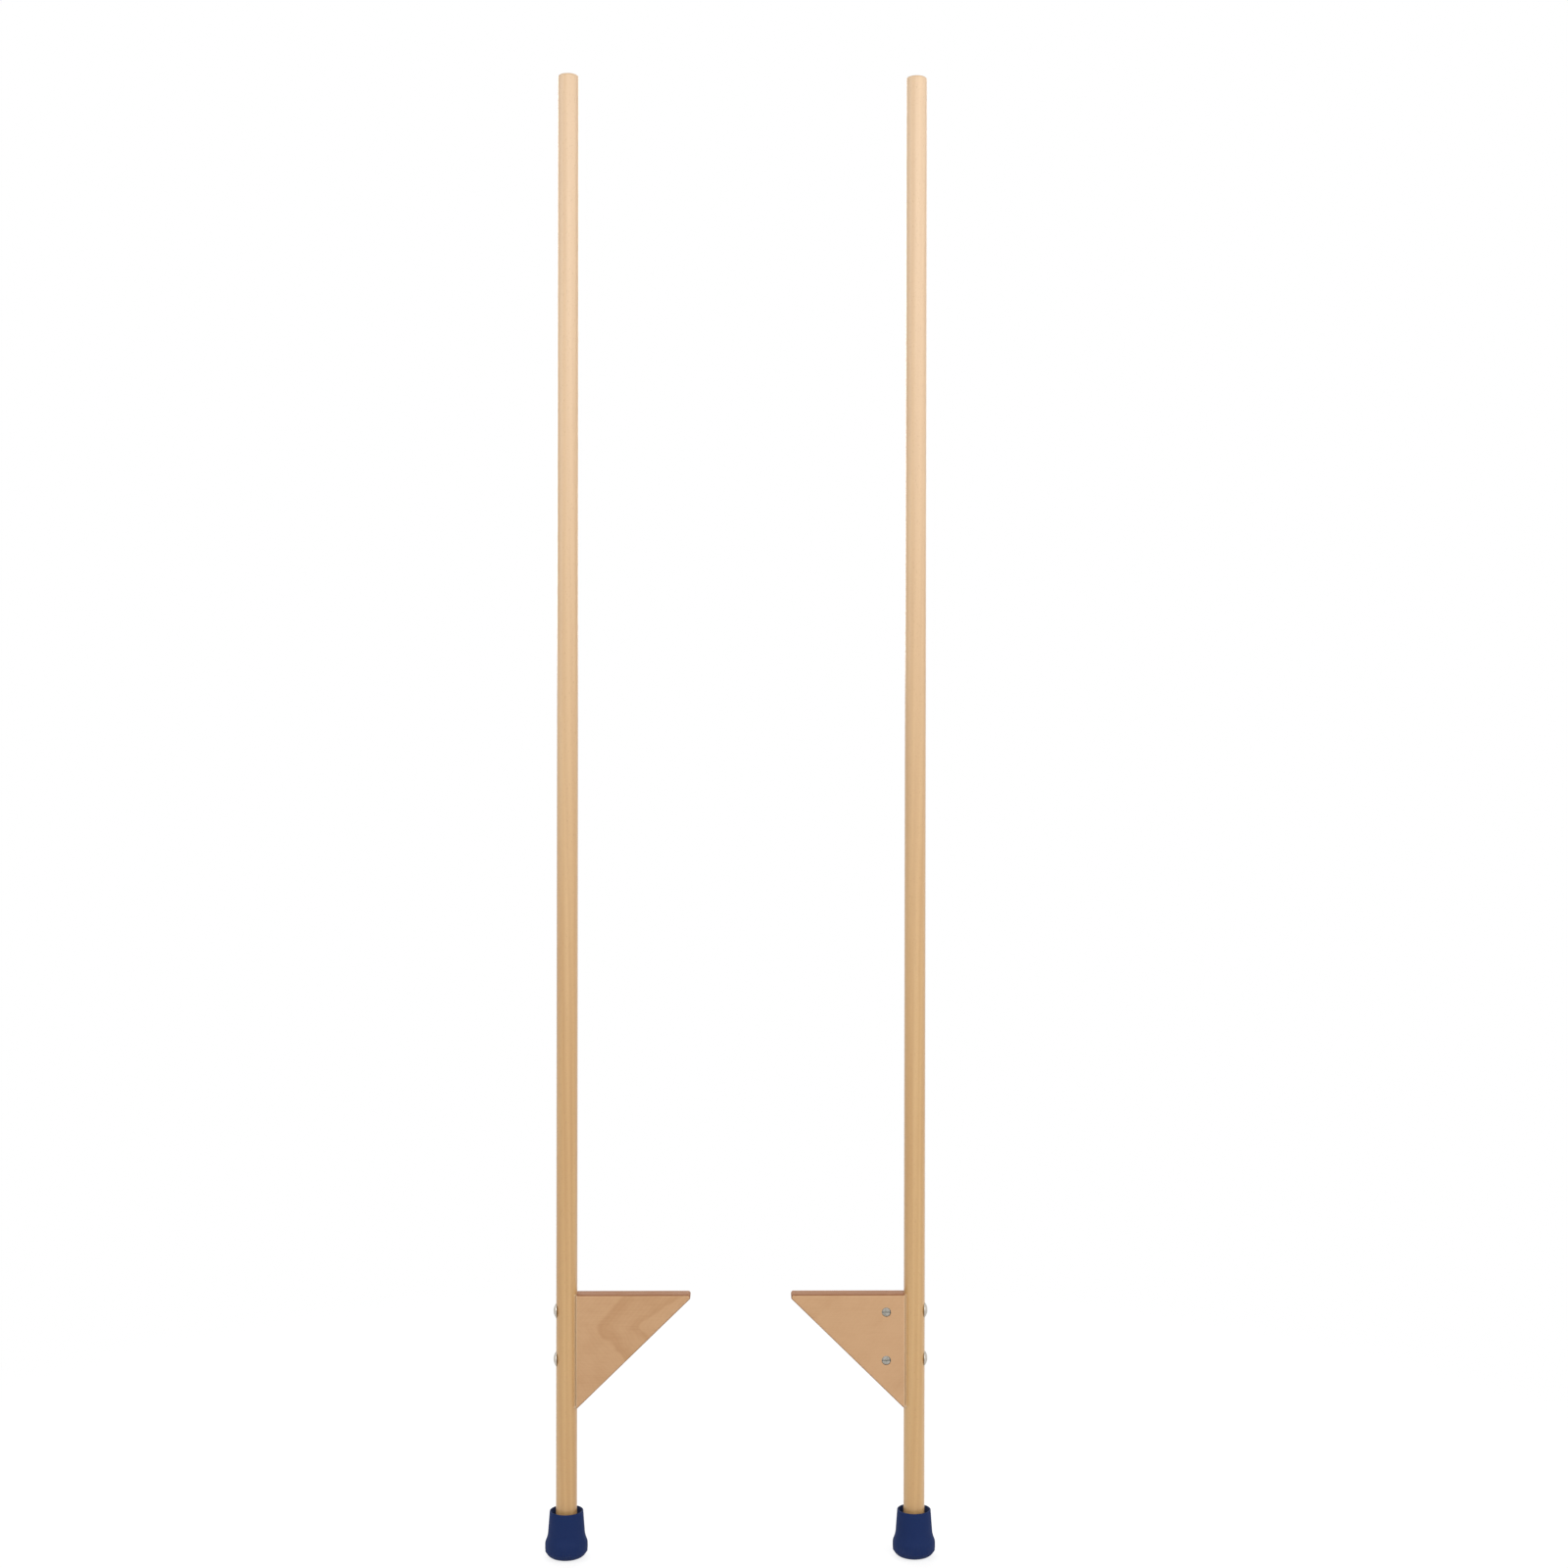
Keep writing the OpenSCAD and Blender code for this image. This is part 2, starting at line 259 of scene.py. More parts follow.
class StiltColours(PropertyGroup):
    """Colours of the finishes"""

    beech_light: tone("Beech light", "Early wood of the poles", 211, 172, 119)
    beech_dark: tone("Beech dark", "Late wood of the poles", 195, 151, 98)
    # Painted highlight: the poles fade to this paler colour towards their top, standing in for the light that
    # falls on their upper part
    beech_painted_highlight: tone("Beech sapwood", "Paler wood towards the top of the poles", 230, 202, 171)
    beech_end: tone("Beech end grain", "Year rings in the ends of the poles", 176, 130, 84)
    beech_fleck: tone("Beech fleck", "Small flecks of the poles", 160, 112, 72)
    veneer_light: tone("Veneer light", "Light figure of the steps", 203, 162, 122)
    veneer_dark: tone("Veneer dark", "Dark figure of the steps", 181, 136, 94)
    ply_long: tone("Ply along", "Plies cut along the grain", 184, 134, 93)
    ply_cross: tone("Ply across", "Plies cut across the grain", 146, 97, 62)
    # Painted light: a pale colour put in the joint of pole and step to lift the shade of the crease
    painted_crease_light: tone("Raw wood", "Unvarnished wood in the joint of pole and step", 242, 220, 186)
    zinc: tone("Zinc", "Zinc plate", 165, 162, 154)
    zinc_dull: tone("Dull zinc", "Dull patches of the zinc plate", 138, 136, 129)
    bright: tone("Bright zinc", "Polished zinc plate of the bolts", 202, 197, 189)
    bright_dull: tone("Bright dull", "Dull patches of the bolts", 176, 171, 164)
    rubber: tone("Rubber", "Moulded rubber", 18, 39, 85)
    rubber_dust: tone("Dust", "Dust and scuffs on the rubber", 52, 62, 92)


class StageSettings(PropertyGroup):
    """Floor, light and camera"""

    key_power: power("Key", "Power of the key light", 90.0)
    fill_power: power("Fill", "Power of the fill light", 10.0)
    side_power: power("Sides", "Power of each side light", 38.0)
    back_power: power("Back", "Power of the light behind", 98.0)
    sky: FloatProperty(
        name="Sky", description="Strength of the soft light all round", default=0.3, min=0.0
    )
    shadow: FloatProperty(
        name="Shadow", description="How much of the floor's own shade shows", default=0.35, subtype="FACTOR"
    )
    lens: FloatProperty(
        name="Lens", description="Focal length of the camera", default=49.5, unit="CAMERA"
    )
    camera: FloatVectorProperty(
        name="Camera", description="Place of the camera", default=(0.0137, -2.8652, 1.0363),
        subtype="TRANSLATION"
    )
    pan: angle("Pan", "Turn of the camera to the left", -0.854)
    tilt: angle("Tilt", "Turn of the camera upwards", -0.196)
    roll: angle("Roll", "Lean of the camera to the left", 0.093)


def stilt_place(side):
    """Takes a stilt's own frame to its place in the pair."""
    if side == "left":
        return Matrix.Translation((POLE_X, 0, 0))
    return Matrix.Translation((-POLE_X, 0, 0)) @ Matrix.Rotation(math.pi, 4, "Z")


def only(parts, kind):
    """Those parts of a mesh that are of one kind."""
    return [part for part in parts if isinstance(part, kind)]


class Outline:
    """Half section of a turned piece, drawn from point to point as radius and height."""

    def __init__(self, radius, height):
        self.mesh = bmesh.new()
        self.tip = self.mesh.verts.new((radius, 0, height))

    def line(self, radius, height):
        """Draws a straight line on from the tip."""
        made = bmesh.ops.extrude_vert_indiv(self.mesh, verts=[self.tip])
        self.tip = made["verts"][0]
        self.tip.co = (radius, 0, height)

    def arc(self, centre, degrees, steps):
        """Swings the tip about a centre, clockwise above zero degrees, with the axis on the left."""
        made = bmesh.ops.spin(
            self.mesh, geom=[self.tip], cent=(centre[0], 0, centre[1]), axis=(0, 1, 0),
            angle=math.radians(degrees), steps=steps
        )
        self.tip = only(made["geom_last"], bmesh.types.BMVert)[0]

    def turned(self):
        """The solid that the outline makes about the axis."""
        bmesh.ops.spin(
            self.mesh, geom=self.mesh.verts[:] + self.mesh.edges[:], cent=(0, 0, 0), axis=(0, 0, 1),
            angle=math.tau, steps=FACETS["turn"], use_merge=True
        )
        bmesh.ops.remove_doubles(self.mesh, verts=self.mesh.verts[:], dist=MERGE)
        bmesh.ops.recalc_face_normals(self.mesh, faces=self.mesh.faces[:])
        return self.mesh


def rod(radius, start, end, sides=FACETS["turn"]):
    """A plain rod from one point to another."""
    run = Vector(end) - Vector(start)
    solid = bmesh.new()
    bmesh.ops.create_cone(
        solid, cap_ends=True, segments=sides, radius1=radius, radius2=radius, depth=run.length
    )
    turn = run.to_track_quat("Z", "Y").to_matrix().to_4x4()
    middle = Matrix.Translation((Vector(start) + Vector(end)) / 2)
    bmesh.ops.transform(solid, matrix=middle @ turn, verts=solid.verts[:])
    return solid


def bolt_rod(radius, start, end, height):
    """A rod along a bolt, across the pole's axis."""
    return rod(radius, (start, 0, height), (end, 0, height))


def bench_object(solid, name):
    """Puts a solid on the bench as a passing object."""
    mesh = bpy.data.meshes.new(name)
    solid.to_mesh(mesh)
    solid.free()
    made = bpy.data.objects.new(name, mesh)
    bpy.context.scene.collection.objects.link(made)
    return made


def cut_away(solid, tool):
    """The solid with the tool's shape cut out of it."""
    work = bench_object(solid, "bench_work")
    cutter = bench_object(tool, "bench_cutter")
    cut = work.modifiers.new("cut", "BOOLEAN")
    cut.operation = "DIFFERENCE"
    cut.solver = "EXACT"
    cut.object = cutter
    left = bmesh.new()
    left.from_object(work, bpy.context.evaluated_depsgraph_get())
    for passing in (work, cutter):
        mesh = passing.data
        bpy.data.objects.remove(passing)
        bpy.data.meshes.remove(mesh)
    if not left.faces:
        raise RuntimeError("a cut left nothing of the piece")
    return left


def set_piece(solid, name, side, node, material, sharp):
    """Sets a copy of a solid in its place in the pair, as the piece that stands for a CAD node."""
    copy = solid.copy()
    bmesh.ops.transform(copy, matrix=stilt_place(side), verts=copy.verts[:])
    mesh = bpy.data.meshes.new(name)
    copy.to_mesh(mesh)
    copy.free()
    mesh.shade_smooth()
    mesh.set_sharp_from_angle(angle=math.radians(sharp))
    mesh.materials.append(material)
    piece = bpy.data.objects.new(name, mesh)
    bpy.context.scene.collection.objects.link(piece)
    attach(piece, side + "_stilt")
    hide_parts(node)


class Finish:
    """A procedural material, with short ways to add and join its nodes."""

    # Sockets of the Mix node where it mixes colours, and the value that the Wave node gives
    MIX_SHARE, MIX_FIRST, MIX_SECOND, MIX_RESULT = 0, 6, 7, 2
    WAVE_VALUE = 1

    def __init__(self, name):
        self.material = bpy.data.materials.new(name)
        self.material.use_nodes = True
        self.tree = self.material.node_tree
        self.shader = self.tree.nodes["Principled BSDF"]

    def feed(self, socket, value):
        """Links a socket to another one, or sets it to a plain value."""
        if isinstance(value, bpy.types.NodeSocket):
            self.tree.links.new(value, socket)
        else:
            socket.default_value = value

    def add(self, kind, sockets, output=0, **settings):
        """Adds a node and gives one of its outputs."""
        made = self.tree.nodes.new(kind)
        for key, value in settings.items():
            setattr(made, key, value)
        for key, value in sockets.items():
            self.feed(made.inputs[key], value)
        return made.outputs[output]

    def own_place(self, side):
        """Coordinates in the stilt's own frame, in metres."""
        turn = math.pi if side == "right" else 0.0
        at = self.add("ShaderNodeTexCoord", {}, "Object")
        return self.add("ShaderNodeMapping", {
            "Vector": at, "Location": (-POLE_X, 0, 0), "Rotation": (0, 0, turn)
        })

    def split(self, vector):
        """The X, Y and Z of a vector."""
        parts = self.tree.nodes.new("ShaderNodeSeparateXYZ")
        self.feed(parts.inputs[0], vector)
        return parts.outputs

    def facing(self):
        """The X, Y and Z of the way that the surface faces."""
        return self.split(self.add("ShaderNodeTexCoord", {}, "Normal"))

    def stretch(self, at, scale):
        """Coordinates that draw a pattern out along an axis where the scale is below one."""
        return self.add("ShaderNodeMapping", {"Vector": at, "Scale": scale})

    def noise(self, at, scale, detail, rough, seed):
        """Soft noise."""
        return self.add("ShaderNodeTexNoise", {
            "Vector": at, "W": seed, "Scale": scale, "Detail": detail, "Roughness": rough
        }, noise_dimensions="4D")

    def wave(self, at, scale, warp, detail, detail_scale, phase=0.0, **kind):
        """Soft bands or rings."""
        return self.add("ShaderNodeTexWave", {
            "Vector": at, "Scale": scale, "Distortion": warp, "Detail": detail,
            "Detail Scale": detail_scale, "Phase Offset": phase
        }, self.WAVE_VALUE, **kind)

    def calc(self, operation, first, second=0.0):
        """One sum with one or two values."""
        return self.add("ShaderNodeMath", {0: first, 1: second}, operation=operation)

    def plus(self, first, second):
        """Both values added."""
        return self.calc("ADD", first, second)

    def minus(self, first, second):
        """The first value less the second."""
        return self.calc("SUBTRACT", first, second)

    def times(self, first, second):
        """The first value times the second."""
        return self.calc("MULTIPLY", first, second)

    def weighed(self, *shares):
        """Values added up, each one times its weight."""
        parts = [self.times(value, weight) for value, weight in shares]
        total = parts[0]
        for part in parts[1:]:
            total = self.plus(total, part)
        return total

    def fade(self, value, span, result=(0.0, 1.0)):
        """Goes softly from the first result to the second as the value crosses the span."""
        return self.add("ShaderNodeMapRange", {
            "Value": value, "From Min": span[0], "From Max": span[1], "To Min": result[0], "To Max": result[1]
        }, interpolation_type="SMOOTHSTEP")

    def blend(self, share, first, second, how="MIX"):
        """Two colours blended, with a share of the second one."""
        made = self.tree.nodes.new("ShaderNodeMix")
        made.data_type = "RGBA"
        made.blend_type = how
        self.feed(made.inputs[self.MIX_SHARE], share)
        self.feed(made.inputs[self.MIX_FIRST], first)
        self.feed(made.inputs[self.MIX_SECOND], second)
        return made.outputs[self.MIX_RESULT]

    def bump(self, height, strength, depth, under=None):
        """Fine relief, over another one where it is given."""
        sockets = {"Height": height, "Strength": strength, "Distance": depth}
        if under is not None:
            sockets["Normal"] = under
        return self.add("ShaderNodeBump", sockets)

    def surface(self, **values):
        """Sets the shader's own sockets, by name with _ for a space."""
        for key, value in values.items():
            self.feed(self.shader.inputs[key.replace("_", " ")], value)
        return self.material


def rgba(colour):
    """A colour without its own clearness, as an opaque one."""
    return (colour[0], colour[1], colour[2], 1.0)


def beech(side, colours):
    """Satin-varnished beech, its grain along the pole and year rings in its end."""
    seed = SEEDS["beech"][side]
    skin = Finish("beech_" + side)
    at = skin.own_place(side)
    towards_step, _, height = skin.split(at)
    long_grain = skin.stretch(at, (1.0, 1.0, 0.018))
    sway = skin.noise(skin.stretch(at, (1.0, 1.0, 0.25)), scale=9.0, detail=2.0, rough=0.5, seed=seed)
    bands = skin.wave(
        skin.stretch(long_grain, (1.0, 0.55, 1.0)), scale=62.0, warp=5.0, detail=3.0, detail_scale=1.4,
        phase=seed, wave_type="BANDS", bands_direction="DIAGONAL"
    )
    streaks = skin.noise(long_grain, scale=520.0, detail=4.0, rough=0.6, seed=seed)
    broad = skin.noise(long_grain, scale=95.0, detail=2.0, rough=0.5, seed=seed + 1)
    figure = skin.weighed((bands, 0.16), (streaks, 0.3), (broad, 0.4), (sway, 0.35))
    late_wood = skin.fade(figure, (0.3, 0.9))
    wood = skin.blend(late_wood, rgba(colours.beech_light), rgba(colours.beech_dark))
    # Painted highlight: the wood is painted paler towards the top of the pole, where the light falls more
    # strongly
    painted_top_highlight = skin.fade(height, (0.4, 2.0), (0.0, 0.62))
    wood = skin.blend(painted_top_highlight, wood, rgba(colours.beech_painted_highlight))

    from_pith = skin.add("ShaderNodeMapping", {"Vector": at, "Location": PITH})
    year_rings = skin.wave(
        from_pith, scale=190.0, warp=4.5, detail=2.0, detail_scale=0.35, phase=seed,
        wave_type="RINGS", rings_direction="Z"
    )
    ring_share = skin.fade(year_rings, (0.3, 1.0), (0.25, 0.6))
    end_grain = skin.blend(ring_share, rgba(colours.beech_light), rgba(colours.beech_end))
    end_share = skin.fade(skin.facing()[2], (0.45, 0.9), (0.0, 0.85))
    wood = skin.blend(end_share, wood, end_grain)

    # Painted light: the pole's flank beside the step is painted pale to lift the shade of the crease
    above_heel = skin.fade(height, (STEP_LOW.z - PAINTED_LIGHT_BLUR, STEP_LOW.z))
    below_tread = skin.fade(height, (STEP_HIGH.z - PAINTED_LIGHT_BLUR, STEP_HIGH.z), (1.0, 0.0))
    painted_light_beside_step = skin.times(skin.times(skin.fade(towards_step, PAINTED_LIGHT_STRIP), above_heel), below_tread)
    wood = skin.blend(painted_light_beside_step, wood, rgba(colours.painted_crease_light))

    flecks = skin.noise(
        skin.stretch(at, (1.0, 1.0, 0.11)), scale=1900.0, detail=1.0, rough=0.4, seed=seed + 2
    )
    fleck_share = skin.fade(flecks, (0.63, 0.75), (0.0, 0.4))
    wood = skin.blend(fleck_share, wood, rgba(colours.beech_fleck))
    rough = skin.fade(skin.plus(streaks, broad), (0.7, 1.3), (0.28, 0.38))
    relief = skin.bump(streaks, strength=0.12, depth=0.0004)
    relief = skin.bump(fleck_share, strength=0.15, depth=0.0002, under=relief)
    return skin.surface(
        Base_Color=wood, Roughness=rough, Normal=relief, Specular_IOR_Level=0.4, Coat_Weight=0.45,
        Coat_Roughness=0.32
    )


def plywood(side, colours, ply, veneer_depth):
    """Varnished plywood: a figured veneer on both faces and stacked plies on the edges."""
    seed = SEEDS["plywood"][side]
    sheet = VENEER_SHEETS[side]
    skin = Finish("plywood_" + side)
    at = skin.own_place(side)
    along, through, up = skin.split(at)

    # The flame figure lies between two wavy tongues that point at the pole
    drift = skin.noise(at, scale=17.0, detail=2.0, rough=0.5, seed=seed)
    ripple = skin.noise(at, scale=44.0, detail=1.0, rough=0.5, seed=seed + 6)
    waver = skin.plus(
        skin.fade(drift, (0.2, 0.8), (-0.005, 0.005)), skin.fade(ripple, (0.25, 0.75), (-0.0025, 0.0025))
    )
    off_centre = skin.plus(skin.minus(up, sheet["point"]), waver)

    def tongue(slope, blunt):
        """Distance along the step from a tongue's outline, which is round at its point."""
        steep = skin.times(off_centre, slope)
        swell = skin.calc("POWER", skin.plus(skin.times(steep, steep), blunt * blunt), 0.5)
        return skin.plus(skin.minus(along, swell), waver)

    outer_tongue = tongue(slope=0.85, blunt=0.002)
    inner_tongue = tongue(slope=1.5, blunt=0.005)
    flame = skin.plus(
        skin.fade(outer_tongue, (0.045, 0.068), (1.0, 0.35)),
        skin.fade(inner_tongue, (0.07, 0.086), (0.0, 0.5))
    )
    flame = skin.times(flame, skin.fade(inner_tongue, (0.087, 0.093), (1.0, 0.0)))
    flame = skin.times(flame, skin.fade(outer_tongue, (0.0375, 0.0415)))
    lines = skin.wave(
        skin.add("ShaderNodeCombineXYZ", {"X": outer_tongue}), scale=46.0, warp=1.2, detail=2.0,
        detail_scale=30.0, wave_type="BANDS", bands_direction="X"
    )
    fibre = skin.noise(
        skin.stretch(at, (0.03, 1.0, 1.0)), scale=900.0, detail=4.0, rough=0.6, seed=seed
    )
    cloud = skin.noise(at, scale=38.0, detail=3.0, rough=0.5, seed=seed + 2)
    figure = skin.weighed((flame, sheet["flame"]), (lines, 0.04), (fibre, 0.34), (cloud, 0.42))
    dark_wood = skin.fade(figure, (sheet["light"], sheet["light"] + LIGHT_TO_DARK))
    veneer = skin.blend(dark_wood, rgba(colours.veneer_light), rgba(colours.veneer_dark))

    layer = skin.calc("DIVIDE", through, ply)
    pair = skin.plus(skin.calc("DIVIDE", layer, PLY_PAIR), PLY_SHIFT)
    swing = skin.calc("SINE", skin.times(pair, math.tau))
    across = skin.fade(swing, (-PLY_BLUR, PLY_BLUR))
    pores = skin.noise(
        skin.stretch(at, (1.0, 0.5, 1.0)), scale=1500.0, detail=2.0, rough=0.5, seed=seed + 4
    )
    edge = skin.blend(across, rgba(colours.ply_long), rgba(colours.ply_cross))
    pore_share = skin.fade(pores, (0.35, 0.8), (0.0, 0.35))
    edge = skin.blend(pore_share, edge, rgba(colours.ply_cross), "MULTIPLY")
    from_middle = skin.calc("ABSOLUTE", through)
    outer_plies = skin.fade(from_middle, (0.5 * STEP_HIGH.y, 0.8 * STEP_HIGH.y), (0.0, 0.5))
    edge = skin.blend(outer_plies, edge, rgba(colours.ply_cross))
    # Painted light: the back of the step, which faces the pole, is painted pale to lift the shade of the
    # crease
    facing_out = skin.times(skin.facing()[0], 1.0 if side == "left" else -1.0)
    painted_light_at_pole = skin.fade(facing_out, (-0.8, -0.3), (0.88, 0.0))
    edge = skin.blend(painted_light_at_pole, edge, rgba(colours.painted_crease_light))

    veneer_start = STEP_HIGH.y - veneer_depth
    face = skin.fade(from_middle, (veneer_start - VENEER_BLUR, veneer_start))
    wood = skin.blend(face, edge, veneer)
    rough = skin.fade(skin.plus(fibre, cloud), (0.7, 1.3), (0.66, 0.76))
    rough = skin.minus(rough, skin.times(face, 0.18))
    relief = skin.bump(fibre, strength=0.1, depth=0.0004)
    relief = skin.bump(skin.plus(pores, across), strength=0.12, depth=0.0002, under=relief)
    return skin.surface(Base_Color=wood, Roughness=rough, Normal=relief, Specular_IOR_Level=0.3)


def zinc(name, side, clean, dull, least_rough):
    """Zinc-plated steel, dull in patches and finely scratched."""
    seed = SEEDS["zinc"][side]
    skin = Finish(name + "_" + side)
    at = skin.own_place(side)
    patches = skin.noise(at, scale=420.0, detail=3.0, rough=0.6, seed=seed)
    scratches = skin.noise(
        skin.stretch(at, (1.0, 1.0, 0.06)), scale=5200.0, detail=2.0, rough=0.5, seed=seed + 1
    )
    grains = skin.noise(at, scale=2600.0, detail=2.0, rough=0.6, seed=seed + 2)
    metal = skin.blend(skin.fade(patches, (0.38, 0.66)), rgba(clean), rgba(dull))
    rough = skin.fade(
        skin.plus(patches, scratches), (0.7, 1.3), (least_rough, least_rough + ZINC_ROUGH_SPAN)
    )
    relief = skin.bump(scratches, strength=0.1, depth=0.00005)
    relief = skin.bump(grains, strength=0.12, depth=0.00006, under=relief)
    return skin.surface(Base_Color=metal, Roughness=rough, Normal=relief, Metallic=1.0)


def rubber(side, colours):
    """Matt moulded rubber, scuffed and dusty towards the ground."""
    seed = SEEDS["rubber"][side]
    skin = Finish("rubber_" + side)
    at = skin.own_place(side)
    grain = skin.noise(at, scale=2400.0, detail=3.0, rough=0.6, seed=seed)
    bloom = skin.noise(at, scale=60.0, detail=4.0, rough=0.6, seed=seed + 1)
    scuffs = skin.noise(
        skin.stretch(at, (1.0, 1.0, 0.3)), scale=520.0, detail=3.0, rough=0.6, seed=seed + 2
    )
    near_ground = skin.fade(skin.split(at)[2], (0.0, 0.03), (0.55, 0.06))
    dust = skin.times(skin.fade(skin.plus(bloom, scuffs), (0.85, 1.35)), near_ground)
    shade = skin.blend(dust, rgba(colours.rubber), rgba(colours.rubber_dust))
    rough = skin.fade(skin.plus(grain, bloom), (0.7, 1.3), (0.66, 0.8))
    relief = skin.bump(grain, strength=0.16, depth=0.00012)
    relief = skin.bump(bloom, strength=0.08, depth=0.0006, under=relief)
    return skin.surface(Base_Color=shade, Roughness=rough, Normal=relief, Specular_IOR_Level=0.18)


class STILTS_OT_poles(Operator):
    """Turns both round poles, with an eased top and let-in seats for the bolt heads"""

    bl_idname = "stilts.poles"
    bl_label = "Poles"

    def execute(self, context):
        size = context.scene.stilt_pole
        outline = Outline(0, size.foot)
        outline.line(size.radius - size.foot_chamfer, size.foot)
        outline.line(size.radius, size.foot + size.foot_chamfer)
        for height in POLE_RINGS:
            outline.line(size.radius, height)
        round_x, round_z = size.radius - size.top_round, size.top - size.top_round
        outline.line(size.radius, round_z)
        outline.arc((round_x, round_z), -90, FACETS["pole_top"])
        outline.line(0, size.top)
        pole = outline.turned()
        outside = size.radius + OVERRUN
        for height in BOLT_Z.values():
            pole = cut_away(pole, bolt_rod(size.seat_radius, -outside, size.seat_depth - size.radius, height))
            pole = cut_away(pole, bolt_rod(size.bore_radius, -outside, outside, height))
        for side in SIDES:
            set_piece(
                pole, side + "_round_pole", side, side + "_pole",
                beech(side, context.scene.stilt_colours), SHARP["pole"]
            )
        pole.free()
        return {"FINISHED"}


class STILTS_OT_step_blocks(Operator):
    """Shapes both plywood steps, rounds their edges and bores them for bolts and barrel nuts"""

    bl_idname = "stilts.step_blocks"
    bl_label = "Step blocks"

    def execute(self, context):
        size = context.scene.stilt_step
        block = self.sawn(size)
        self.sand(block, size)
        block = self.bored(block, size, context.scene.stilt_nut, context.scene.stilt_pole.bore_radius)
        for side in SIDES:
            set_piece(
                block, side + "_plywood_step", side, side + "_step_block",
                plywood(side, context.scene.stilt_colours, size.ply, size.veneer), SHARP["step"]
            )
        block.free()
        return {"FINISHED"}

    def sawn(self, size):
        """The block with its edges rounded around both faces and over the nose, cut off flat at the heel."""
        half = size.thickness / 2
        fall = (size.tread - size.nose - size.heel) / (size.tip - size.back - size.heel_width)
        corners = [
            (size.back, size.tread), (size.tip, size.tread), (size.tip, size.tread - size.nose),
            (size.back, size.heel - fall * size.heel_width)
        ]
        block = bmesh.new()
        outline = block.faces.new([block.verts.new((x, -half, z)) for x, z in corners])
        grown = bmesh.ops.extrude_face_region(block, geom=[outline])
        far = only(grown["geom"], bmesh.types.BMVert)
        bmesh.ops.translate(block, verts=far, vec=(0, size.thickness, 0))
        bmesh.ops.recalc_face_normals(block, faces=block.faces[:])
        rims = []
        nose_edges = []
        for edge in block.edges:
            first, second = (vert.co for vert in edge.verts)
            if abs(first.y - second.y) < MERGE:
                rims.append(edge)
            elif first.x > size.tip - MERGE and first.z > size.tread - MERGE:
                nose_edges.append(edge)
        bmesh.ops.bevel(
            block, geom=rims + nose_edges, offset=size.edge_round, offset_type="OFFSET", affect="EDGES",
            segments=FACETS["step_edge"], profile=0.5, material=-1, clamp_overlap=True
        )
        cut = bmesh.ops.bisect_plane(
            block, geom=block.verts[:] + block.edges[:] + block.faces[:], plane_co=(0, 0, size.heel),
            plane_no=(0, 0, -1), clear_outer=True
        )
        bmesh.ops.holes_fill(block, edges=only(cut["geom_cut"], bmesh.types.BMEdge))
        bmesh.ops.recalc_face_normals(block, faces=block.faces[:])
        return block

    def sand(self, block, size):
        """Eases the edges that are still sharp."""
        creases = [
            edge for edge in block.edges
            if len(edge.link_faces) == 2 and edge.calc_face_angle() > math.radians(SANDED_ABOVE)
        ]
        bmesh.ops.bevel(
            block, geom=creases, offset=size.edge_ease, offset_type="OFFSET", affect="EDGES",
            segments=FACETS["step_ease"], profile=0.5, material=-1, clamp_overlap=True
        )

    def bored(self, block, size, nut, bore_radius):
        """The block with its hollow for the pole and its holes for bolts and nuts."""
        block = cut_away(block, rod(
            size.saddle_radius, (0, 0, size.heel - OVERRUN), (0, 0, size.tread + OVERRUN), FACETS["saddle"]
        ))
        hole_end = nut.inner - NUT_CLEARANCE
        outside = size.thickness / 2 + OVERRUN
        for height in BOLT_Z.values():
            block = cut_away(block, bolt_rod(bore_radius, 0, size.bolt_hole, height))
            block = cut_away(block, rod(
                size.nut_hole_radius, (nut.axis, hole_end, height), (nut.axis, outside, height)
            ))
        return block


class STILTS_OT_bolts(Operator):
    """Turns the four domed bolts and sinks a hexagon socket into each head"""

    bl_idname = "stilts.bolts"
    bl_label = "Bolts"

    def execute(self, context):
        size = context.scene.stilt_bolt
        pole = context.scene.stilt_pole
        colours = context.scene.stilt_colours
        rise = size.head_height - size.head_rim
        dome = (size.head_radius ** 2 + rise ** 2) / (2 * rise)
        dome_turn = math.degrees(math.asin(size.head_radius / dome))
        outline = Outline(0, -size.shank)
        outline.line(size.radius - size.tip_chamfer, -size.shank)
        outline.line(size.radius, size.tip_chamfer - size.shank)
        outline.line(size.radius, 0)
        outline.line(size.head_radius, 0)
        outline.line(size.head_radius, size.head_rim)
        outline.arc((0, size.head_height - dome), -dome_turn, FACETS["head"])
        bolt = outline.turned()
        socket_floor = size.head_height - size.socket_depth
        bolt = cut_away(bolt, rod(
            size.socket / 2 / math.cos(math.pi / HEXAGON_SIDES), (0, 0, socket_floor),
            (0, 0, size.head_height + OVERRUN), HEXAGON_SIDES
        ))
        lay = Matrix.Rotation(-math.pi / 2, 4, "Y")
        finishes = {
            side: zinc("bright_zinc", side, colours.bright, colours.bright_dull, ZINC_ROUGH["bolt"])
            for side in SIDES
        }
        for level in LEVELS:
            laid = bolt.copy()
            seat = Matrix.Translation((pole.seat_depth - pole.radius, 0, BOLT_Z[level]))
            bmesh.ops.transform(laid, matrix=seat @ lay, verts=laid.verts[:])
            for side in SIDES:
                set_piece(
                    laid, side + "_" + level + "_domed_bolt", side, side + "_" + level + "_bolt",
                    finishes[side], SHARP["bolt"]
                )
            laid.free()
        bolt.free()
        return {"FINISHED"}


